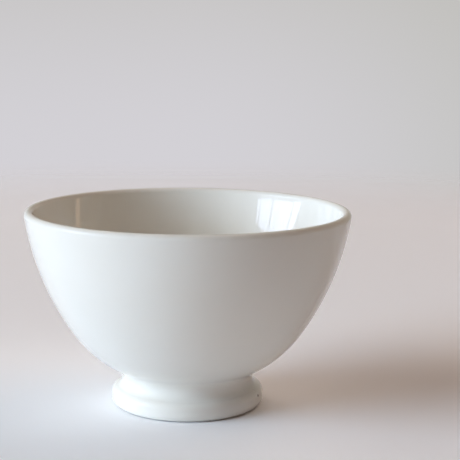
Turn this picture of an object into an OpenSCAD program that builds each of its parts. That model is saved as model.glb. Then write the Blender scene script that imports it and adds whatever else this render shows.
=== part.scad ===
// Footed latte bowl: a glazed clay bowl, stuck with slip onto a flared pedestal foot.
// Each piece is a ring of revolution about Z. Its section is drawn with arcs that run into each
// other without a corner, and the origin is the middle of the face that the bowl stands on.

/* [Overall] */
// Outside diameter of the glazed rim
rim_d = 140; // [126:1:156]
// Outside diameter of the glazed foot
foot_d = 66; // [58:0.5:78]
// How far the glazed neck between the foot and the bowl draws in from the foot's edge
neck_inset = 5; // [3:0.1:6]

/* [Bowl outline] */
// Radius of the long curve of the flank, which rises to the rim
flank_r = 121; // [104:1:145]
// Radius of the rounder curve of the belly
belly_r = 50.5; // [46:0.5:56]
// How far the wall leans out at the rim, in degrees from upright
rim_lean = 8.7; // [5:0.1:12]
// How far the wall leans out where the belly runs into the flank, in degrees
turn_lean = 35; // [31:0.5:39]

/* [Foot outline] */
// Radius of the hollow cove between the bowl and the foot
cove_r = 3.9; // [2.5:0.1:5]
// Radius of the foot's shoulder
shoulder_r = 3.1; // [2.6:0.1:4.4]
// Height of the foot's upright side
foot_side_h = 1.2; // [0.8:0.1:4]
// Radius of the roll that tucks the foot's side in under it
foot_roll_r = 4.4; // [3.5:0.1:5.4]

/* [Foot recess] */
// Width of the bare ring that the bowl stands on
ring_w = 2.6; // [1.8:0.1:3.6]
// Radius of the ring's inner edge
ring_edge_r = 1.6; // [1.2:0.1:2.4]
// Draft of the recess, in degrees from upright
recess_draft = 8; // [3:0.5:12]

/* [Clay and glaze] */
// Thickness of the clay wall between the rim and the belly
wall_t = 3.6; // [2.8:0.1:4.6]
// Thickness of the clay in the middle of the floor
floor_t = 5.6; // [4.4:0.1:7]
// Thickness of each coat of glaze
glaze_t = 0.3; // [0.2:0.05:0.5]
// Height to which the glaze is wiped off above the standing face
wipe_h = 0.6; // [0.4:0.05:1]

/* [Luted joint] */
// Depth of the rebate that is turned into the bowl for the foot
rebate_t = 1.2; // [0.9:0.1:1.8]
// Thickness of the slip between the two pieces
slip_t = 0.5; // [0.3:0.05:0.7]
// Depth of the grooves that are scored into both faces
score_t = 0.5; // [0.3:0.05:0.8]
// Width of a scored groove
score_w = 1; // [0.6:0.1:1.4]
// Number of scored grooves in each face
score_count = 3; // [1:1:4]

/* [Smoothness] */
// How far a straight step of an outline may stray from its true arc
facet_t = 0.02; // [0.01:0.005:0.04]

/* [Hidden] */
$fn = 240;

// Two points are the same when they lie closer than this share of facet_t
same_point_share = 0.1;

// A point at distance r from c, a degrees up from the outward direction
function at(c, r, a) = c + r * [cos(a), sin(a)];

// The angle at which p lies as seen from c
function angle(c, p) = atan2(p.y - c.y, p.x - c.x);

// The low point where the line through p along the unit vector u meets the circle about c
function meet(c, r, p, u) =
    let (along = (p - c) * u, off = cross(p - c, u))
    p - (along + sqrt(pow(r, 2) - pow(off, 2))) * u;

// Steps that an arc needs
function steps(r, turn) = ceil(abs(turn) / (2 * acos(1 - facet_t / r)));

// Points along an arc of the finished surface from angle a0 to angle a1, drawn in by inset
function arc(c, r, a0, a1, inset = 0) =
    let (n = steps(r, a1 - a0))
    [for (i = [0 : n]) at(c, r - inset, a0 + (a1 - a0) * i / n)];

function reverse(v) = [for (i = [len(v) - 1 : -1 : 0]) v[i]];

// One closed outline from lines that run on from each other, without the points that they share
function outline(lines) =
    let (all = [for (line = lines) each line])
    [for (i = [0 : len(all) - 1])
        if (norm(all[i] - all[(i + 1) % len(all)]) > facet_t * same_point_share) all[i]];

// Foot: the centres of its arcs, from the standing face up
foot_r = foot_d / 2;
neck_r = foot_r - neck_inset;
roll_c = [foot_r - foot_roll_r, foot_roll_r - glaze_t];
shoulder_c = [foot_r - shoulder_r, roll_c.y + foot_side_h];
shoulder_turn = acos((neck_r + cove_r - shoulder_c.x) / (shoulder_r + cove_r));
cove_c = at(shoulder_c, shoulder_r + cove_r, shoulder_turn);

// Bowl: how far the centres of its arcs lie from the axis, from the rim down
lip_r = wall_t / 2 + glaze_t;
lip_x = rim_d / 2 - lip_r;
flank_x = lip_x - (flank_r - lip_r) * cos(rim_lean);
belly_x = flank_x + (flank_r - belly_r) * cos(turn_lean);

// Bowl: the centres of its arcs, from the cove up
neck_turn = acos((cove_c.x - belly_x) / (belly_r + cove_r));
belly_c = at(cove_c, belly_r + cove_r, 180 - neck_turn);
flank_c = at(belly_c, flank_r - belly_r, 180 - turn_lean);
lip_c = at(flank_c, flank_r - lip_r, -rim_lean);

// Luted joint: the rebate in the bowl and the top of the foot, with the slip between them
rebate_r = belly_r - glaze_t - rebate_t;
foot_top_r = rebate_r + slip_t;

// Foot recess: its drafted wall, from the ring's inner edge up to the bowl
ring_edge_c = [roll_c.x - ring_w, ring_edge_r];
draft_up = [-sin(recess_draft), cos(recess_draft)];
draft_in = [-cos(recess_draft), -sin(recess_draft)];
recess_foot = ring_edge_c + ring_edge_r * draft_in;
recess_turn = angle(belly_c, meet(belly_c, rebate_r, recess_foot, draft_up));

// Underside in the recess: a shallow dome, centred on the axis
dome_r = rebate_r + belly_c.x / cos(recess_turn);
dome_c = [0, belly_c.y - belly_c.x * tan(recess_turn)];

// Hollow of the bowl: flank, then a rounder belly, then a dished floor centred on the axis
hollow_flank_r = flank_r - wall_t - 2 * glaze_t;
hollow_turn = at(flank_c, hollow_flank_r, -turn_lean);
floor_z = dome_c.y - dome_r + floor_t + glaze_t;
dish_turn = 70;
dish_share = (1 - sin(dish_turn)) / cos(dish_turn);
hollow_r = (hollow_turn.y - hollow_turn.x * dish_share - floor_z)
    / (1 - sin(turn_lean) - dish_share * cos(turn_lean));
hollow_c = at(hollow_turn, hollow_r, 180 - turn_lean);
dish_r = hollow_r + hollow_c.x / cos(dish_turn);
dish_c = [0, hollow_c.y + hollow_c.x * tan(dish_turn)];

// Angles at which the glaze is wiped off the foot's outer and inner edges
outer_wipe = -asin((roll_c.y - wipe_h) / foot_roll_r);
inner_wipe = 180 + asin((ring_edge_r - wipe_h) / (ring_edge_r + glaze_t));

echo(height = lip_c.y + lip_r, floor = floor_z, hollow_r = hollow_r, neck_turn = neck_turn);

// Outside of the bowl, from the crest of the lip down to the cove
function bowl_outside(inset) = concat(
    arc(lip_c, lip_r, 90, -rim_lean, inset),
    arc(flank_c, flank_r, -rim_lean, -turn_lean, inset),
    arc(belly_c, belly_r, -turn_lean, -neck_turn, inset)
);

// Outside of the foot, from the cove down to the wiped line
function foot_outside(inset) = concat(
    arc(cove_c, cove_r, 180 - neck_turn, 180 + shoulder_turn, -inset),
    arc(shoulder_c, shoulder_r, shoulder_turn, 0, inset),
    arc(roll_c, foot_roll_r, 0, outer_wipe, inset)
);

// Inside of the bowl, from the crest of the lip down to the middle of the floor
function bowl_inside(inset) = concat(
    arc(lip_c, lip_r, 90, 180 - rim_lean, inset),
    arc(flank_c, hollow_flank_r, -rim_lean, -turn_lean, -inset),
    arc(hollow_c, hollow_r, -turn_lean, -dish_turn, -inset),
    arc(dish_c, dish_r, -dish_turn, -90, -inset)
);

// Corner where the wall of the recess meets its dome, under a coat of the given thickness
function recess_corner(coat) = meet(dome_c, dome_r + coat, recess_foot + coat * draft_in, draft_up);

// Dome of the recess, from its middle to its corner
function recess_dome(coat) =
    arc(dome_c, dome_r, -90, angle(dome_c, recess_corner(coat)), -coat);

// Wall of the recess, from the ring's inner edge down to the wiped line
function recess_wall(coat) =
    arc(ring_edge_c, ring_edge_r, 180 + recess_draft, inner_wipe, -coat);

// Seat at radius r in the luted joint, from the recess out to the cove, with its scored grooves
function seat(r, tip_r) =
    let (
        from = angle(belly_c, meet(belly_c, r, recess_foot, draft_up)),
        half = asin(score_w / 2 / r),
        pitch = (-neck_turn - recess_turn) / (score_count + 1)
    )
    concat(
        [at(belly_c, r, from)],
        [for (i = [1 : score_count], side = [-1 : 1])
            at(belly_c, side == 0 ? tip_r : r, recess_turn + i * pitch + side * half)],
        [at(belly_c, r, -neck_turn)]
    );

bowl_seat = seat(rebate_r, rebate_r - score_t);
foot_seat = seat(foot_top_r, foot_top_r + score_t);

// A piece whose section is bounded by the given lines, turned about the axis
module turned(lines) {
    rotate_extrude() polygon(outline(lines));
}

module bowl_body() {
    color("#e6ddcc")
        turned([
            bowl_outside(glaze_t),
            reverse(bowl_seat),
            reverse(recess_dome(0)),
            reverse(bowl_inside(glaze_t))
        ]);
}

module pedestal_foot() {
    color("#ded3be")
        turned([
            foot_outside(glaze_t),
            arc(roll_c, foot_roll_r, outer_wipe, -90, glaze_t),
            arc(ring_edge_c, ring_edge_r, 270, inner_wipe),
            reverse(recess_wall(0)),
            foot_seat
        ]);
}

module luting_slip() {
    color("#b9a88c") turned([foot_seat, reverse(bowl_seat)]);
}

module inside_glaze() {
    color("#f1efea") turned([bowl_inside(0), reverse(bowl_inside(glaze_t))]);
}

module outside_glaze() {
    color("#eeece8")
        turned([
            bowl_outside(0),
            foot_outside(0),
            reverse(foot_outside(glaze_t)),
            reverse(bowl_outside(glaze_t))
        ]);
}

module recess_glaze() {
    color("#e8e5df")
        turned([
            recess_dome(glaze_t),
            recess_wall(glaze_t),
            reverse(recess_wall(0)),
            reverse(recess_dome(0))
        ]);
}

bowl_body();
pedestal_foot();
luting_slip();
inside_glaze();
outside_glaze();
recess_glaze();
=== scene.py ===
"""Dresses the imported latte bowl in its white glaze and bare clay, and sets it in a plain studio."""

import math

import bmesh
import bpy
from bpy.props import FloatProperty, FloatVectorProperty, PointerProperty
from mathutils import Matrix, Vector, noise


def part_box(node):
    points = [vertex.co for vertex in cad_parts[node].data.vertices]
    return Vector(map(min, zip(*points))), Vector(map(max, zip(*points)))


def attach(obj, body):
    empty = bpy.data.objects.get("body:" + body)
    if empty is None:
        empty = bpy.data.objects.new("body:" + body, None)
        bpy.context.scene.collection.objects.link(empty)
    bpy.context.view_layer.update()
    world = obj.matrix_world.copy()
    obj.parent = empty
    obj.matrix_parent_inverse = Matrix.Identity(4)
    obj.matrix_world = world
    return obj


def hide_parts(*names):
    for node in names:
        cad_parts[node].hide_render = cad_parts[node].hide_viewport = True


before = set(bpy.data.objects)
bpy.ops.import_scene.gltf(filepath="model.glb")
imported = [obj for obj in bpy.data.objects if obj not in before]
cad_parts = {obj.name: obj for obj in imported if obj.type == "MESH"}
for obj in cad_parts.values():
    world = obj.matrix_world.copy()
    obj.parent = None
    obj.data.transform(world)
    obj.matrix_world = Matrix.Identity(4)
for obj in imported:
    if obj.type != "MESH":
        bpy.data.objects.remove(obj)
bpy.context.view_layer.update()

bl_info = {
    "name": "Latte Bowl",
    "version": (1, 0, 0),
    "blender": (4, 5, 0),
    "location": "View3D > Sidebar > Latte Bowl",
    "description": "Glazes and fires a footed latte bowl round its solid clay",
    "category": "Add Mesh",
}

MM = 0.001
BODY = "root"
CLAY_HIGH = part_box("bowl_body")[1]
COAT_LOW, COAT_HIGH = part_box("outside_glaze")
FOOT_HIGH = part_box("pedestal_foot")[1]
LINER_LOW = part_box("inside_glaze")[0]
GLAZE_T = COAT_HIGH.x - CLAY_HIGH.x

# Facets: their length along the long curves, and how many times finer they are on the small ones
COAT_STEP = 1.75 * MM
RECESS_STEP = 1.4 * MM
FINER_FOOT = 4
FINER_EDGE = 6

# Facets round the axis
COAT_AROUND = 384
RECESS_AROUND = 192
FLOOR_AROUND = 128

# The coat's skin against the clay, which stays hidden, takes one in this many of its points.
HIDDEN_EVERY = 3

# Points closer together than this are one.
TOUCHING = 1e-3 * MM

# The section's height may differ from the frame's by this much.
HEIGHT_SLACK = 0.05 * MM

# The flaws in the foot's glaze lie outside this radius and below this height.
GLAZED_FOOT_R = 0.8 * FOOT_HIGH.x
GLAZED_FOOT_H = 12 * MM

# Turn, in degrees from +Y towards +X, and height above the table of each of these flaws
PINHOLE = (112.0, 5.9 * MM)
DROPLETS = ((124.9, 9.2 * MM), (113.3, 8.1 * MM), (124.2, 5.6 * MM))

# The pool where the belly meets the neck ends at this many times its reach from its middle.
POOL_FADES = 3

# The wiped line stops wandering this many of its waves away from it, and has a pattern of its own.
WANDER_REACH = 8
WANDER_PLACE = Vector((0, 0, 7))

# Corners of each pane as seen from the rim, in degrees: turn from +Y towards +X, and rise
WINDOW_PANES = (
    ((-122.1, 9.4), (-120.1, 9.2), (-119.5, 18.5), (-121.1, 17.9)),
    ((-119.1, 8.8), (-108.9, 8.0), (-108.7, 19.2), (-115.3, 19.2), (-118.4, 18.3)),
    ((-107.7, 7.9), (-102.0, 7.4), (-104.2, 20.8), (-107.5, 20.8)),
    ((-101.5, 7.3), (-88.8, 6.0), (-91.6, 20.8), (-103.8, 20.8)),
    ((-87.5, 5.8), (-80.4, 4.9), (-87.6, 20.8), (-90.2, 20.8)),
)
WARM_STRIP = (((82.8, 3.5), (87.5, 3.5), (79.3, 14.0), (73.1, 14.0)),)

# Turn, rise, width and height of each soft lamp as seen from the bowl, in degrees
SOFT_LAMPS = {
    "daylight": (-111, 15, 36, 28),
    "high": (-100, 38, 44, 24),
    "warm": (60, 56, 40, 30),
    "front": (180, 15, 30, 28),
    "back": (-15, 15, 60, 28),
}

# Watts for each square metre of a soft lamp at a strength of 1
LAMP_POWER = math.pi

# Index of refraction of the glaze and of the grains of the clay
FIRED_IOR = 1.5

# Where the backdrop's tone begins and ends to turn, in the X and the Z of the direction looked in
BACKDROP_TURNS_RIGHT = (-0.02, 0.62)
BACKDROP_TURNS_HIGH = (-0.11, 0.2)


def linear(hex_colour):
    """Linear red, green and blue of an sRGB hex colour such as "#f1efea"."""
    parts = [int(hex_colour[i : i + 2], 16) / 255 for i in (1, 3, 5)]
    return [c / 12.92 if c <= 0.04045 else ((c + 0.055) / 1.055) ** 2.4 for c in parts]


def length(name, description, default):
    """A length that a user may change, in metres."""
    return FloatProperty(
        name=name, description=description, default=default, min=0, unit="LENGTH", precision=5
    )


def turn(name, description, degrees):
    """An angle that a user may change."""
    return FloatProperty(
        name=name, description=description, default=math.radians(degrees), unit="ROTATION"
    )


def share(name, description, default):
    """A share or strength that a user may change."""
    return FloatProperty(name=name, description=description, default=default, min=0)


def colour(name, description, hex_colour):
    """A colour that a user may change."""
    return FloatVectorProperty(
        name=name, description=description, default=linear(hex_colour), min=0, subtype="COLOR"
    )


class LatteBowlShape(bpy.types.PropertyGroup):
    """Sizes of the bowl's section. The frame gives those that its boxes show."""

    rim_r: length("Rim radius", "From the axis to the outside of the rim", COAT_HIGH.x)
    foot_r: length("Foot radius", "From the axis to the foot's edge", FOOT_HIGH.x + GLAZE_T)
    neck_inset: length("Neck inset", "How far the neck draws in from the foot's edge", 5 * MM)
    flank_r: length("Flank curve", "Radius of the long curve up to the rim", 121 * MM)
    belly_r: length("Belly curve", "Radius of the rounder curve of the belly", 50.5 * MM)
    rim_lean: turn("Rim lean", "How far the wall leans out at the rim", 8.7)
    turn_lean: turn("Turn lean", "Lean where the belly runs into the flank", 35)
    cove_r: length("Cove curve", "Radius of the hollow between bowl and foot", 3.9 * MM)
    shoulder_r: length("Shoulder curve", "Radius of the foot's shoulder", 3.1 * MM)
    foot_side_h: length("Foot side", "Height of the foot's upright side", 1.2 * MM)
    foot_roll_r: length("Foot roll", "Radius that tucks the foot's side in under it", 4.4 * MM)
    ring_w: length("Standing ring", "Width of the bare ring that the bowl stands on", 2.6 * MM)
    ring_edge_r: length("Ring edge", "Radius of the ring's inner edge", 1.6 * MM)
    recess_draft: turn("Recess draft", "Lean of the recess's wall", 8)
    rebate_t: length("Rebate", "Depth of the rebate that takes the foot", 1.2 * MM)
    wall_t: length("Clay wall", "Thickness of the clay wall", 3.6 * MM)
    floor_z: length("Floor height", "Height of the floor's middle", LINER_LOW.z + GLAZE_T)
    dish_turn: turn("Dish turn", "Slope at which the floor's dish begins", 70)
    # The coat comes down lower than the solid's, and leaves a thinner line of bare clay.
    wipe_z: length("Wiped line", "Height to which the glaze is wiped off", 0.2 * COAT_LOW.z)


class LatteBowlGlaze(bpy.types.PropertyGroup):
    """Thickness, flow and colours of the glaze."""

    coat_t: length("Coat", "Thickness of the coat of glaze", GLAZE_T)
    warp_w: length("Warp width", "Width of the kiln's slow warps", 46 * MM)
    warp_h: length("Warp height", "Height of the kiln's slow warps", 0.11 * MM)
    ripple_w: length("Ripple width", "Width of the ripples where the glaze ran", 9 * MM)
    ripple_h: length("Ripple height", "Height of the ripples where the glaze ran", 0.022 * MM)
    edge_w: length("Edge", "Width over which the coat rounds off at the wiped line", 0.5 * MM)
    wipe_wave: length("Wiped wave", "How far the wiped line wanders", 0.15 * MM)
    gather: length("Gather", "How far the glaze fills out the foot's roll", 1.0 * MM)
    pool_w: length("Cove pool", "How far the glaze pools above and below the belly's end", 3.2 * MM)
    fillet_r: length("Pool", "Radius of the glaze that pools in the recess's corner", 1.2 * MM)
    pit_r: length("Pinhole", "Radius of the pinhole in the foot's glaze", 0.75 * MM)
    pit_h: length("Pinhole depth", "Depth of the pinhole in the foot's glaze", 0.28 * MM)
    bead_r: length("Droplet", "Radius of a droplet on the foot's glaze", 0.6 * MM)
    bead_h: length("Droplet height", "Height of a droplet on the foot's glaze", 0.24 * MM)
    white: colour("White", "Colour of the coat where it lies thick", "#e9e9e4")
    shade: colour("Shade", "Colour of the coat's slightly warmer patches", "#e5e4dd")
    thin: colour("Thin", "Colour where the coat runs thin over the lip", "#e3e1da")
    iron: colour("Iron", "Colour of the iron speck in the pinhole", "#4a3528")
    patch_w: length("Patch width", "Width of the warmer patches", 34 * MM)
    thin_w: length("Thin band", "Depth below the crest over which the coat thins", 2.2 * MM)
    gloss: share("Roughness", "Roughness of the fired surface", 0.05)
    peel_w: length("Peel width", "Width of the fine unevenness of the shine", 2.4 * MM)
    peel_h: length("Peel height", "Height of the fine unevenness of the shine", 0.0015 * MM)


class LatteBowlClay(bpy.types.PropertyGroup):
    """Colours and grain of the bare clay and the slip."""

    biscuit: colour("Biscuit", "Colour of the fired clay", "#e2d6c2")
    biscuit_dark: colour("Biscuit grain", "Colour of its darker grains", "#cdbda3")
    slip: colour("Slip", "Colour of the slip in the joint", "#b9a88c")
    slip_dark: colour("Slip grain", "Colour of its darker grains", "#a49274")
    grain_w: length("Grain", "Width of a grain", 0.6 * MM)
    grain_h: length("Grain height", "Height of a grain", 0.05 * MM)


class LatteBowlStudio(bpy.types.PropertyGroup):
    """Floor, backdrop, window, lamps and camera. A pane of strength 1 shows in just its colour."""

    floor_r: length("Floor radius", "Radius of the floor", 1.0)
    floor_fade_r: length("Floor fade", "Radius at which the floor begins to fade out", 0.5)
    floor: colour("Floor", "Colour of the floor", "#f7f9fd")
    backdrop: colour("Backdrop", "Colour of the backdrop near the floor", "#d3d1d6")
    backdrop_right: colour("Backdrop, right", "Colour of its dim right side", "#a9ab9a")
    backdrop_high: colour("Backdrop, high", "Colour of the backdrop high up", "#b8b6ad")
    room: colour("Room", "Colour of the light that the room throws back", "#2c150e")
    window: colour("Window", "Colour of the window's panes", "#d8e5ff")
    window_strength: share("Window strength", "Brightness of the window's panes", 8.03)
    strip: colour("Warm strip", "Colour of the narrow warm strip on the right", "#ffdcb8")
    strip_strength: share("Warm strip strength", "Brightness of the warm strip", 2.3)
    daylight: colour("Daylight", "Colour of the soft daylight beside the window", "#d5ecff")
    daylight_strength: share("Daylight strength", "Brightness of the soft daylight", 8.5)
    high: colour("High light", "Colour of the soft light high on the left", "#fff2e0")
    high_strength: share("High strength", "Brightness of the high soft light", 2.9)
    warm: colour("Warm light", "Colour of the soft light high behind the right side", "#ffe6d2")
    warm_strength: share("Warm strength", "Brightness of the warm light", 2.2)
    front: colour("Front light", "Colour of the dim light from in front", "#ffd8ae")
    front_strength: share("Front strength", "Brightness of the dim light from in front", 0.8)
    back: colour("Back light", "Colour of the low soft light from behind", "#fff1e6")
    back_strength: share("Back strength", "Brightness of the light from behind", 1.85)
    lamp_away: length("Lamp distance", "From the bowl to each soft lamp", 3.0)
    pane_away: length("Pane distance", "From the bowl to each pane, far behind the lamps", 20.0)
    camera_away: length("Camera distance", "From the bowl's foot to the camera", 562.64 * MM)
    camera_rise: turn("Camera rise", "How far above the floor the camera looks from", 17.05)
    camera_pan: turn("Camera pan", "How far the camera turns to its right", 1.916)
    camera_tilt: turn("Camera tilt", "How far the camera looks down", 9.376)
    camera_roll: turn("Camera roll", "How far the camera is rolled", 0.587)
    lens_mm: FloatProperty(
        name="Lens", description="Focal length", default=99.02, min=1, unit="CAMERA"
    )


def at(centre, radius, angle):
    """The point at that distance and angle from a centre, as (distance from the axis, height)."""
    return centre + radius * Vector((math.cos(angle), math.sin(angle)))


def meet(centre, radius, point, along):
    """The low point where a line through a point meets the circle about a centre."""
    away = point - centre
    off = away.cross(along)
    return point - (away.dot(along) + math.sqrt(radius**2 - off**2)) * along


def arc(centre, radius, start, end, step, hollow=False):
    """(point, direction of the air) along an arc, closest at its ends, where the curve changes.

    The air is inside the curve if it is hollow.
    """
    count = max(2, math.ceil(abs(end - start) * radius / step))
    line = []
    for i in range(count + 1):
        angle = start + (end - start) * (1 - math.cos(math.pi * i / count)) / 2
        out = at(Vector((0, 0)), -1 if hollow else 1, angle)
        line.append((at(centre, radius, angle), out))
    return line


def joined(*lines):
    """One line from several that run on from each other, without the points that they share."""
    points = [p for line in lines for p in line]
    kept = points[:1]
    for point in points[1:]:
        if (point[0] - kept[-1][0]).length > TOUCHING:
            kept.append(point)
    return kept


def lengths_along(line):
    """How far along the line each of its points lies."""
    runs = [0.0]
    for a, b in zip(line, line[1:]):
        runs.append(runs[-1] + (b[0] - a[0]).length)
    return runs


def pooled(line, middle, reach):
    """A line eased on both sides of a point, as glaze pools in a hollow.

    Each point moves to the mean of those round it, weighed by a bell curve as wide as the reach,
    and the easing dies out at POOL_FADES times the reach from the middle.
    """
    runs = lengths_along(line)
    centre = runs[min(range(len(line)), key=lambda i: (line[i][0] - middle).length)]
    eased = []
    for (point, out), run in zip(line, runs):
        fade = max(0, 1 - ((run - centre) / (POOL_FADES * reach)) ** 2) ** 2
        place, air, total = Vector((0, 0)), Vector((0, 0)), 0
        for i in range(1, len(line) - 1):
            weight = math.exp(-(((runs[i] - run) / reach) ** 2)) * (runs[i + 1] - runs[i - 1])
            place += line[i][0] * weight
            air += line[i][1] * weight
            total += weight
        if fade > 0:
            point = point.lerp(place / total, fade)
            out = out.lerp(air.normalized(), fade).normalized()
        eased.append((point, out))
    return eased


class Section:
    """The bowl's half-section: the centres of its arcs, worked out from its sizes.

    The glaze that gathers at the foot's edge takes its gather off the radius of the foot's roll.
    """

    def __init__(self, s, coat_t, gather=0):
        self.s = s
        self.coat_t = coat_t
        self.roll_r = s.foot_roll_r - gather
        self.roll_c = Vector((s.foot_r - self.roll_r, self.roll_r - coat_t))
        shoulder_z = s.foot_roll_r - coat_t + s.foot_side_h
        self.shoulder_c = Vector((s.foot_r - s.shoulder_r, shoulder_z))
        reach = s.shoulder_r + s.cove_r
        neck = s.foot_r - s.neck_inset
        self.shoulder_turn = math.acos((neck + s.cove_r - self.shoulder_c.x) / reach)
        self.cove_c = at(self.shoulder_c, reach, self.shoulder_turn)
        self.lip_r = s.wall_t / 2 + coat_t
        flank_x = s.rim_r - self.lip_r - (s.flank_r - self.lip_r) * math.cos(s.rim_lean)
        belly_x = flank_x + (s.flank_r - s.belly_r) * math.cos(s.turn_lean)
        self.neck_turn = math.acos((self.cove_c.x - belly_x) / (s.belly_r + s.cove_r))
        self.belly_c = at(self.cove_c, s.belly_r + s.cove_r, math.pi - self.neck_turn)
        self.flank_c = at(self.belly_c, s.flank_r - s.belly_r, math.pi - s.turn_lean)
        self.lip_c = at(self.flank_c, s.flank_r - self.lip_r, -s.rim_lean)
        self.hollow_flank_r = s.flank_r - 2 * self.lip_r
        hollow_turn = at(self.flank_c, self.hollow_flank_r, -s.turn_lean)
        dish_share = (1 - math.sin(s.dish_turn)) / math.cos(s.dish_turn)
        drop = hollow_turn.y - hollow_turn.x * dish_share - s.floor_z
        self.hollow_r = drop / (1 - math.sin(s.turn_lean) - dish_share * math.cos(s.turn_lean))
        self.hollow_c = at(hollow_turn, self.hollow_r, math.pi - s.turn_lean)
        self.dish_r = self.hollow_r + self.hollow_c.x / math.cos(s.dish_turn)
        self.dish_c = Vector((0, self.hollow_c.y + self.hollow_c.x * math.tan(s.dish_turn)))
        self.edge_c = Vector((s.foot_r - s.foot_roll_r - s.ring_w, s.ring_edge_r))
        self.draft_up = Vector((-math.sin(s.recess_draft), math.cos(s.recess_draft)))
        self.draft_in = Vector((-math.cos(s.recess_draft), -math.sin(s.recess_draft)))
        self.recess_foot = self.edge_c + s.ring_edge_r * self.draft_in
        rebate_r = s.belly_r - coat_t - s.rebate_t
        corner = meet(self.belly_c, rebate_r, self.recess_foot, self.draft_up) - self.belly_c
        corner_turn = math.atan2(corner.y, corner.x)
        self.dome_r = rebate_r + self.belly_c.x / math.cos(corner_turn)
        self.dome_c = Vector((0, self.belly_c.y - self.belly_c.x * math.tan(corner_turn)))

    def outside(self, step):
        """From the wiped line on the foot up to the crest of the lip."""
        s = self.s
        wiped = -math.asin((self.roll_c.y - s.wipe_z) / self.roll_r)
        cove = (math.pi + self.shoulder_turn, math.pi - self.neck_turn)
        return joined(
            arc(self.roll_c, self.roll_r, wiped, 0, step / FINER_FOOT),
            arc(self.shoulder_c, s.shoulder_r, 0, self.shoulder_turn, step / FINER_FOOT),
            arc(self.cove_c, s.cove_r, *cove, step / FINER_FOOT, hollow=True),
            arc(self.belly_c, s.belly_r, -self.neck_turn, -s.turn_lean, step),
            arc(self.flank_c, s.flank_r, -s.turn_lean, -s.rim_lean, step),
            arc(self.lip_c, self.lip_r, -s.rim_lean, math.pi / 2, step / FINER_EDGE),
        )

    def inside(self, step):
        """From the crest of the lip down to the middle of the floor."""
        s = self.s
        hollow = (self.hollow_c, self.hollow_r, -s.turn_lean, -s.dish_turn)
        return joined(
            arc(self.lip_c, self.lip_r, math.pi / 2, math.pi - s.rim_lean, step / FINER_EDGE),
            arc(self.flank_c, self.hollow_flank_r, -s.rim_lean, -s.turn_lean, step, hollow=True),
            arc(*hollow, step, hollow=True),
            arc(self.dish_c, self.dish_r, -s.dish_turn, -math.pi / 2, step, hollow=True),
        )

    def recess(self, step, fillet_r):
        """From the middle of the recess's dome, round its pooled corner, to the wiped line."""
        s, t = self.s, self.coat_t
        dome_r = self.dome_r + t
        wall = self.recess_foot + (t + fillet_r) * self.draft_in
        pool_c = meet(self.dome_c, dome_r + fillet_r, wall, self.draft_up)
        rise = self.dome_c - pool_c
        dome_turn = math.atan2(-rise.y, -rise.x)
        wiped = math.pi + math.asin((s.ring_edge_r - s.wipe_z) / (s.ring_edge_r + t))
        pool = (dome_turn + math.pi, s.recess_draft)
        edge = (math.pi + s.recess_draft, wiped)
        top = pool_c - fillet_r * self.draft_in
        foot = self.recess_foot + t * self.draft_in
        count = math.ceil((top - foot).length / step)
        wall_line = [(top.lerp(foot, i / count), self.draft_in) for i in range(count + 1)]
        return joined(
            arc(self.dome_c, dome_r, -math.pi / 2, dome_turn, step),
            arc(pool_c, fillet_r, *pool, step / FINER_EDGE, hollow=True),
            wall_line,
            arc(self.edge_c, s.ring_edge_r + t, *edge, step / FINER_EDGE),
        )


def flow(place, glaze):
    """How far the fired surface lies below its true one: slow warps and small ripples."""
    slow = noise.noise(place / glaze.warp_w)
    quick = noise.noise(place / glaze.ripple_w)
    return ((1 - slow) * glaze.warp_h + (1 - quick) * glaze.ripple_h) / 2


def flaws(place, glaze):
    """How far the surface lies below its true one in the pinhole, and above it in a droplet."""
    depth = 0
    if place.z > GLAZED_FOOT_H or place.xy.length < GLAZED_FOOT_R:
        return depth
    spots = [(PINHOLE, glaze.pit_r, glaze.pit_h)]
    spots += [(drop, glaze.bead_r, -glaze.bead_h) for drop in DROPLETS]
    for (turn_deg, height), radius, deep in spots:
        side = (place.xy.normalized() - way(turn_deg, 0).xy).length * place.xy.length
        away = math.hypot(side, place.z - height) / radius
        if away < 1:
            depth += deep * (1 - away**2) ** 2
    return depth


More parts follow.
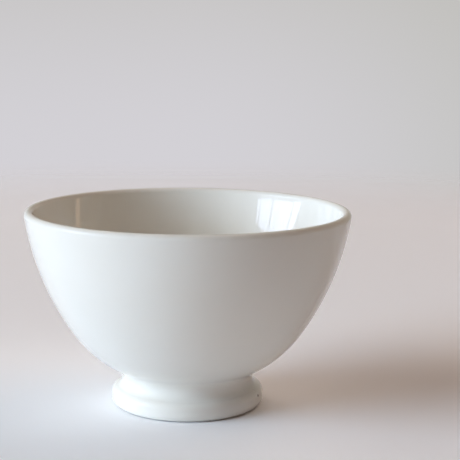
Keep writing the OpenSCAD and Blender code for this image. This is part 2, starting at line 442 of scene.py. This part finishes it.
def turn_coat(name, line, bed, glaze, wiped_first, around):
    """A closed skin of glaze, turned about Z from lines of (point, direction of the air).

    The first line is the fired surface, and the second lies a coat's thickness over the clay.
    Both begin where the glaze is wiped off if wiped_first, and else end there.
    """
    mesh = bmesh.new()

    # A sunk ring lies that deep all round, and one at 0 follows the glaze's flow and its flaws.
    def ring(point, out, run, sunk):
        if point.x < TOUCHING:
            depth = sunk or flow(Vector((0, 0, point.y)), glaze)
            return [mesh.verts.new((0, 0, point.y - out.y * depth))]
        edge = max(0, 1 - run / glaze.edge_w)
        along = Vector((-out.y, out.x)) * (1 if wiped_first else -1)
        verts = []
        for j in range(around):
            angle = 2 * math.pi * j / around
            c, s = math.cos(angle), math.sin(angle)
            place = Vector((point.x * c, point.x * s, point.y))
            fade = max(0, 1 - run / (WANDER_REACH * glaze.wipe_wave))
            wander = noise.noise(place / glaze.ripple_w + WANDER_PLACE) * fade
            depth = sunk or flow(place, glaze)
            if not sunk:
                depth += (glaze.coat_t - depth) * (1 - math.sqrt(1 - edge**2))
                depth += flaws(place, glaze)
            q = point - out * depth + along * wander * glaze.wipe_wave
            verts.append(mesh.verts.new((q.x * c, q.x * s, q.y)))
        return verts

    def bridge(a, b):
        for j in range(around):
            k = (j + 1) % around
            if len(a) == 1:
                mesh.faces.new((a[0], b[j], b[k]))
            elif len(b) == 1:
                mesh.faces.new((a[j], a[k], b[0]))
            else:
                mesh.faces.new((a[j], a[k], b[k], b[j]))

    def skin(line, sunk):
        runs = lengths_along(line)
        if not wiped_first:
            runs = [runs[-1] - run for run in runs]
        return [ring(*spot, run, sunk) for spot, run in zip(line, runs)]

    outer = skin(line, 0)
    inner = skin(bed[:-1:HIDDEN_EVERY] + bed[-1:], glaze.coat_t)
    for side in (outer, inner):
        for a, b in zip(side, side[1:]):
            bridge(a, b)
    end = 0 if wiped_first else -1
    bridge(outer[end], inner[end])
    bmesh.ops.recalc_face_normals(mesh, faces=mesh.faces)
    data = bpy.data.meshes.new(name)
    mesh.to_mesh(data)
    mesh.free()
    data.shade_smooth()
    piece = bpy.data.objects.new(name, data)
    bpy.context.scene.collection.objects.link(piece)
    return piece


def add_node(tree, kind, inputs=None, **settings):
    """Adds a node with its settings. An input takes a value, or a link from another socket."""
    node = tree.nodes.new(kind)
    for name, value in settings.items():
        setattr(node, name, value)
    for key, value in (inputs or {}).items():
        if isinstance(value, bpy.types.NodeSocket):
            tree.links.new(value, node.inputs[key])
        else:
            node.inputs[key].default_value = value
    return node


def opaque(rgb):
    """A colour with full alpha."""
    return (*rgb, 1)


def new_material(name):
    """An empty material and its node tree."""
    material = bpy.data.materials.new(name)
    material.use_nodes = True
    material.node_tree.nodes.clear()
    return material, material.node_tree


def glossy_white_glaze(glaze, rim_z):
    """Opaque white glaze, dipped and fired: a hard, even shine over a soft, slightly warm white."""
    material, tree = new_material("glossy_white_glaze")
    place = add_node(tree, "ShaderNodeTexCoord").outputs["Object"]
    height = add_node(tree, "ShaderNodeSeparateXYZ", {0: place}).outputs["Z"]
    patches = add_node(
        tree, "ShaderNodeTexNoise", {"Vector": place, "Scale": 1 / glaze.patch_w, "Detail": 3}
    )
    # A MixRGB takes its factor and two colours at 0, 1 and 2.
    body = add_node(
        tree,
        "ShaderNodeMixRGB",
        {0: patches.outputs["Fac"], 1: opaque(glaze.white), 2: opaque(glaze.shade)},
    )
    thinness = add_node(
        tree,
        "ShaderNodeMapRange",
        {"Value": height, "From Min": rim_z - glaze.thin_w, "From Max": rim_z},
        interpolation_type="SMOOTHSTEP",
    )
    tone = add_node(
        tree,
        "ShaderNodeMixRGB",
        {0: thinness.outputs[0], 1: body.outputs[0], 2: opaque(glaze.thin)},
    )
    # The pinhole burst over a grain of iron in the clay, so it is brown inside.
    pinhole_turn, pinhole_z = PINHOLE
    pit = way(pinhole_turn, 0) * FOOT_HIGH.x + Vector((0, 0, pinhole_z))
    pit_away = add_node(
        tree, "ShaderNodeVectorMath", {0: place, 1: pit}, operation="DISTANCE"
    )
    iron = add_node(
        tree,
        "ShaderNodeMapRange",
        {"Value": pit_away.outputs["Value"], "From Min": glaze.pit_r, "From Max": glaze.pit_r / 2},
        interpolation_type="SMOOTHSTEP",
    )
    fired = add_node(
        tree,
        "ShaderNodeMixRGB",
        {0: iron.outputs[0], 1: tone.outputs[0], 2: opaque(glaze.iron)},
    )
    peel = add_node(
        tree, "ShaderNodeTexNoise", {"Vector": place, "Scale": 1 / glaze.peel_w, "Detail": 2}
    )
    bump = add_node(
        tree, "ShaderNodeBump", {"Height": peel.outputs["Fac"], "Distance": glaze.peel_h}
    )
    shader = add_node(
        tree,
        "ShaderNodeBsdfPrincipled",
        {
            "Base Color": fired.outputs[0],
            "Roughness": glaze.gloss,
            "IOR": FIRED_IOR,
            "Normal": bump.outputs[0],
        },
    )
    add_node(tree, "ShaderNodeOutputMaterial", {"Surface": shader.outputs[0]})
    return material


def bare_clay(name, light, dark, clay):
    """Biscuit-fired earthenware: dead matt and dry, with a fine grain in two tones."""
    material, tree = new_material(name)
    place = add_node(tree, "ShaderNodeTexCoord").outputs["Object"]
    grain = add_node(
        tree, "ShaderNodeTexNoise", {"Vector": place, "Scale": 1 / clay.grain_w, "Detail": 4}
    )
    tone = add_node(
        tree, "ShaderNodeMixRGB", {0: grain.outputs["Fac"], 1: opaque(light), 2: opaque(dark)}
    )
    bump = add_node(
        tree, "ShaderNodeBump", {"Height": grain.outputs["Fac"], "Distance": clay.grain_h}
    )
    shader = add_node(
        tree,
        "ShaderNodeBsdfPrincipled",
        {
            "Base Color": tone.outputs[0],
            "Roughness": 0.9,
            "IOR": FIRED_IOR,
            "Normal": bump.outputs[0],
        },
    )
    add_node(tree, "ShaderNodeOutputMaterial", {"Surface": shader.outputs[0]})
    return material


def painted_floor(studio):
    """Matt white floor paint, rolled on: it takes a soft shadow and fades out far from the bowl."""
    material, tree = new_material("matt_floor_paint")
    place = add_node(tree, "ShaderNodeTexCoord").outputs["Object"]
    away = add_node(tree, "ShaderNodeVectorMath", {0: place}, operation="LENGTH")
    fade = add_node(
        tree,
        "ShaderNodeMapRange",
        {
            "Value": away.outputs["Value"],
            "From Min": studio.floor_fade_r,
            "From Max": studio.floor_r,
        },
        interpolation_type="SMOOTHSTEP",
    )
    paint = add_node(tree, "ShaderNodeBsdfDiffuse", {"Color": opaque(studio.floor)})
    clear = add_node(tree, "ShaderNodeBsdfTransparent")
    surface = add_node(
        tree, "ShaderNodeMixShader", {0: fade.outputs[0], 1: paint.outputs[0], 2: clear.outputs[0]}
    )
    add_node(tree, "ShaderNodeOutputMaterial", {"Surface": surface.outputs[0]})
    return material


class LATTEBOWL_OT_coat(bpy.types.Operator):
    """Coats the bowl and the outside of its foot in one skin of glaze, over the lip"""

    bl_idname = "lattebowl.coat"
    bl_label = "Glaze Bowl"

    def execute(self, context):
        shape, glaze = context.scene.bowl_shape, context.scene.bowl_glaze
        section = Section(shape, glaze.coat_t)
        if abs(section.lip_c.y + section.lip_r - COAT_HIGH.z) > HEIGHT_SLACK:
            raise RuntimeError("The section's height differs from the frame's")
        inside = section.inside(COAT_STEP)
        bed = joined(section.outside(COAT_STEP), inside)
        fuller = Section(shape, glaze.coat_t, glaze.gather)
        under_belly = at(section.cove_c, shape.cove_r, math.pi - section.neck_turn)
        outside = pooled(fuller.outside(COAT_STEP), under_belly, glaze.pool_w)
        line = joined(outside, inside)
        coat = turn_coat("glaze_coat", line, bed, glaze, True, COAT_AROUND)
        coat.data.materials.append(glossy_white_glaze(glaze, COAT_HIGH.z))
        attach(coat, BODY)
        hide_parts("inside_glaze", "outside_glaze")
        return {"FINISHED"}


class LATTEBOWL_OT_recess(bpy.types.Operator):
    """Coats the recess in the foot"""

    bl_idname = "lattebowl.recess"
    bl_label = "Glaze Recess"

    def execute(self, context):
        shape, glaze = context.scene.bowl_shape, context.scene.bowl_glaze
        section = Section(shape, glaze.coat_t)
        line = section.recess(RECESS_STEP, glaze.fillet_r)
        coat = turn_coat("recess_coat", line, line, glaze, False, RECESS_AROUND)
        coat.data.materials.append(bpy.data.materials["glossy_white_glaze"])
        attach(coat, BODY)
        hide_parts("recess_glaze")
        return {"FINISHED"}


class LATTEBOWL_OT_clay(bpy.types.Operator):
    """Fires the clay and the slip that show where the glaze is wiped off"""

    bl_idname = "lattebowl.clay"
    bl_label = "Fire Clay"

    def execute(self, context):
        clay = context.scene.bowl_clay
        biscuit = bare_clay("biscuit_earthenware", clay.biscuit, clay.biscuit_dark, clay)
        slip = bare_clay("fired_slip", clay.slip, clay.slip_dark, clay)
        for node, material in (
            ("bowl_body", biscuit),
            ("pedestal_foot", biscuit),
            ("luting_slip", slip),
        ):
            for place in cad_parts[node].material_slots:
                place.material = material
        return {"FINISHED"}


class LATTEBOWL_OT_studio(bpy.types.Operator):
    """Lays the floor, lights the window and sets the camera"""

    bl_idname = "lattebowl.studio"
    bl_label = "Set Studio"

    def execute(self, context):
        studio = context.scene.bowl_studio
        lay_floor(studio)
        hang_panes("window", WINDOW_PANES, studio.window, studio.window_strength, studio)
        hang_panes("warm_strip", WARM_STRIP, studio.strip, studio.strip_strength, studio)
        for name, size in SOFT_LAMPS.items():
            hang_lamp(name, size, studio)
        surround(studio)
        place_camera(studio)
        context.scene.view_settings.view_transform = "Standard"
        return {"FINISHED"}


def lay_floor(studio):
    """A round matt floor under the bowl."""
    mesh = bmesh.new()
    bmesh.ops.create_circle(mesh, cap_ends=True, segments=FLOOR_AROUND, radius=studio.floor_r)
    data = bpy.data.meshes.new("floor")
    mesh.to_mesh(data)
    mesh.free()
    data.materials.append(painted_floor(studio))
    floor = bpy.data.objects.new("floor", data)
    bpy.context.scene.collection.objects.link(floor)


def way(turn_deg, rise_deg):
    """The direction that is turned from +Y towards +X and rises above the floor."""
    a, e = math.radians(turn_deg), math.radians(rise_deg)
    return Vector((math.sin(a) * math.cos(e), math.cos(a) * math.cos(e), math.sin(e)))


def hang_panes(name, panes, tint, strength, studio):
    """Glowing panes, which the glaze mirrors sharply, placed as seen from the height of the rim."""
    rim = Vector((0, 0, COAT_HIGH.z))
    mesh = bmesh.new()
    for pane in panes:
        places = [rim + way(*corner) * studio.pane_away for corner in pane]
        mesh.faces.new([mesh.verts.new(place) for place in places])
    data = bpy.data.meshes.new(name)
    mesh.to_mesh(data)
    mesh.free()
    material, tree = new_material(f"{name}_glow")
    glow = add_node(tree, "ShaderNodeEmission", {"Color": opaque(tint), "Strength": strength})
    add_node(tree, "ShaderNodeOutputMaterial", {"Surface": glow.outputs[0]})
    data.materials.append(material)
    lit = bpy.data.objects.new(name, data)
    lit.visible_camera = False
    bpy.context.scene.collection.objects.link(lit)


def hang_lamp(name, size, studio):
    """A broad soft lamp, which lights without showing as a box in the glaze."""
    turn_deg, rise_deg, width, height = size
    lamp = bpy.data.lights.new(name, "AREA")
    lamp.shape = "RECTANGLE"
    lamp.size, lamp.size_y = (
        2 * studio.lamp_away * math.tan(math.radians(side / 2)) for side in (width, height)
    )
    lamp.color = getattr(studio, name)
    # Its power grows with its area, so that its strength is its brightness whatever its size.
    lamp.energy = getattr(studio, f"{name}_strength") * LAMP_POWER * lamp.size * lamp.size_y
    lit = bpy.data.objects.new(name, lamp)
    out = way(turn_deg, rise_deg)
    facing = out.to_track_quat("Z", "Y").to_matrix().to_4x4()
    lit.matrix_world = Matrix.Translation(out * studio.lamp_away) @ facing
    lit.visible_camera = False
    lit.visible_glossy = False
    bpy.context.scene.collection.objects.link(lit)


def surround(studio):
    """A pale backdrop for the camera and the glaze, in a dim room that adds little light."""
    world = bpy.data.worlds.new("backdrop")
    world.use_nodes = True
    tree = world.node_tree
    tree.nodes.clear()
    look = add_node(tree, "ShaderNodeTexCoord").outputs["Generated"]
    axes = add_node(tree, "ShaderNodeSeparateXYZ", {0: look})
    right = add_node(
        tree,
        "ShaderNodeMapRange",
        {
            "Value": axes.outputs["X"],
            "From Min": BACKDROP_TURNS_RIGHT[0],
            "From Max": BACKDROP_TURNS_RIGHT[1],
        },
        interpolation_type="SMOOTHSTEP",
    )
    high = add_node(
        tree,
        "ShaderNodeMapRange",
        {
            "Value": axes.outputs["Z"],
            "From Min": BACKDROP_TURNS_HIGH[0],
            "From Max": BACKDROP_TURNS_HIGH[1],
        },
        interpolation_type="SMOOTHSTEP",
    )
    tone = add_node(
        tree,
        "ShaderNodeMixRGB",
        {0: right.outputs[0], 1: opaque(studio.backdrop), 2: opaque(studio.backdrop_right)},
    )
    seen = add_node(
        tree,
        "ShaderNodeMixRGB",
        {0: high.outputs[0], 1: tone.outputs[0], 2: opaque(studio.backdrop_high)},
    )
    path = add_node(tree, "ShaderNodeLightPath")
    mirrored = add_node(
        tree,
        "ShaderNodeMath",
        {0: path.outputs["Is Glossy Ray"], 1: path.outputs["Is Transmission Ray"]},
        operation="MAXIMUM",
    )
    looked_at = add_node(
        tree,
        "ShaderNodeMath",
        {0: path.outputs["Is Camera Ray"], 1: mirrored.outputs[0]},
        operation="MAXIMUM",
    )
    shown = add_node(
        tree,
        "ShaderNodeMixRGB",
        {0: looked_at.outputs[0], 1: opaque(studio.room), 2: seen.outputs[0]},
    )
    background = add_node(tree, "ShaderNodeBackground", {"Color": shown.outputs[0]})
    add_node(tree, "ShaderNodeOutputWorld", {"Surface": background.outputs[0]})
    bpy.context.scene.world = world


def place_camera(studio):
    """The camera, at the place and angle that the photograph was taken from."""
    data = bpy.data.cameras.new("camera")
    data.sensor_width = 36
    data.lens = studio.lens_mm
    data.clip_start = 10 * MM
    camera = bpy.data.objects.new("camera", data)
    away, rise = studio.camera_away, studio.camera_rise
    camera.matrix_world = (
        Matrix.Translation((0, -away * math.cos(rise), away * math.sin(rise)))
        @ Matrix.Rotation(-studio.camera_pan, 4, "Z")
        @ Matrix.Rotation(math.pi / 2 - studio.camera_tilt, 4, "X")
        @ Matrix.Rotation(studio.camera_roll, 4, "Z")
    )
    bpy.context.scene.collection.objects.link(camera)
    bpy.context.scene.camera = camera


GROUPS = {
    "bowl_shape": LatteBowlShape,
    "bowl_glaze": LatteBowlGlaze,
    "bowl_clay": LatteBowlClay,
    "bowl_studio": LatteBowlStudio,
}
STEPS = (LATTEBOWL_OT_clay, LATTEBOWL_OT_coat, LATTEBOWL_OT_recess, LATTEBOWL_OT_studio)


class LATTEBOWL_PT_panel(bpy.types.Panel):
    """Lists the bowl's steps and the sizes and colours that they use"""

    bl_idname = "LATTEBOWL_PT_panel"
    bl_label = "Latte Bowl"
    bl_space_type = "VIEW_3D"
    bl_region_type = "UI"
    bl_category = "Latte Bowl"

    def draw(self, context):
        for step in STEPS:
            self.layout.operator(step.bl_idname)
        for name, group in GROUPS.items():
            box = self.layout.box()
            for prop in group.__annotations__:
                box.prop(getattr(context.scene, name), prop)


def register():
    """Adds the bowl's settings, steps and panel."""
    for group in (*GROUPS.values(), *STEPS, LATTEBOWL_PT_panel):
        bpy.utils.register_class(group)
    for name, group in GROUPS.items():
        setattr(bpy.types.Scene, name, PointerProperty(type=group))


def unregister():
    """Takes the bowl's settings, steps and panel out again."""
    for name in GROUPS:
        delattr(bpy.types.Scene, name)
    for group in (LATTEBOWL_PT_panel, *reversed(STEPS), *reversed(GROUPS.values())):
        bpy.utils.unregister_class(group)


def main():
    """Runs each step in order."""
    register()
    bpy.ops.lattebowl.clay()
    bpy.ops.lattebowl.coat()
    bpy.ops.lattebowl.recess()
    bpy.ops.lattebowl.studio()


if __name__ == "__main__":
    main()
